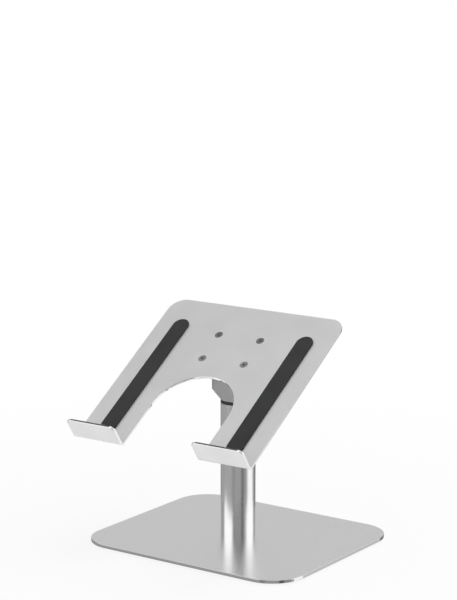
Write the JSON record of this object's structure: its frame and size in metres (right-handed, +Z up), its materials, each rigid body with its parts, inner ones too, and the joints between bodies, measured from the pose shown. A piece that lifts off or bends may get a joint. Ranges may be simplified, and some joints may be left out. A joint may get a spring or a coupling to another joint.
{
  "type": "laptop stand",
  "caption": "Desk stand that holds a laptop above a wide flat base on a round column, with a swivelling, tilting sheet-metal tray whose upright lips stop it sliding off.",
  "frame": {"origin": "on the desk, under the column's axis and the middle of the base", "axes": "+Z up along the column; the front, where the tray's lips are, faces -Y; +X is across the tray, to the right of someone facing the front"},
  "size_m": [0.2186, 0.2197, 0.2038],
  "materials": {
    "base_metal": "satin, with a polished rim",
    "column_metal": "polished",
    "tray_metal": "fine satin, with polished edges",
    "cast_metal": "fine blasted casting",
    "fastener_steel": "zinc plated",
    "slide_plastic": "matte",
    "cap_plastic": "matte",
    "black_rubber": "matte"
  },
  "bodies": {
    "stand": {"non_slip_pad": "black_rubber", "base_plate": "base_metal", "column_tube": "column_metal", "column_foot_plug": "cast_metal", "column_screws": "fastener_steel", "column_top_bush": "slide_plastic"},
    "swivel_head": {"thrust_washer_upper": "slide_plastic", "thrust_washer_lower": "slide_plastic", "swivel_disc_springs": "fastener_steel", "swivel_lock_nut": "fastener_steel", "swivel_spindle": "fastener_steel", "hinge_yoke": "cast_metal", "hinge_bolt": "fastener_steel", "hinge_disc_springs": "fastener_steel", "hinge_lock_nut": "fastener_steel", "hinge_cap_right": "cap_plastic", "hinge_cap_left": "cap_plastic", "friction_washer_right": "slide_plastic", "friction_washer_left": "slide_plastic"},
    "tray": {"tray_bracket": "cast_metal", "hinge_bush": "slide_plastic", "tray_plate": "tray_metal", "tray_screws": "fastener_steel", "arm_pad_left": "black_rubber", "arm_pad_right": "black_rubber", "lip_pad_left": "black_rubber", "lip_pad_right": "black_rubber"}
  },
  "joints": [
    {"name": "swivel", "type": "hinge", "parent": "stand", "child": "swivel_head", "pos_m": [0, 0, 0.128], "axis": [0, 0, 1], "continuous": true},
    {"name": "tilt", "type": "hinge", "parent": "swivel_head", "child": "tray", "pos_m": [0, 0, 0.15905], "axis": [1, 0, 0], "range_deg": [-33.7, 26.3]}
  ]
}
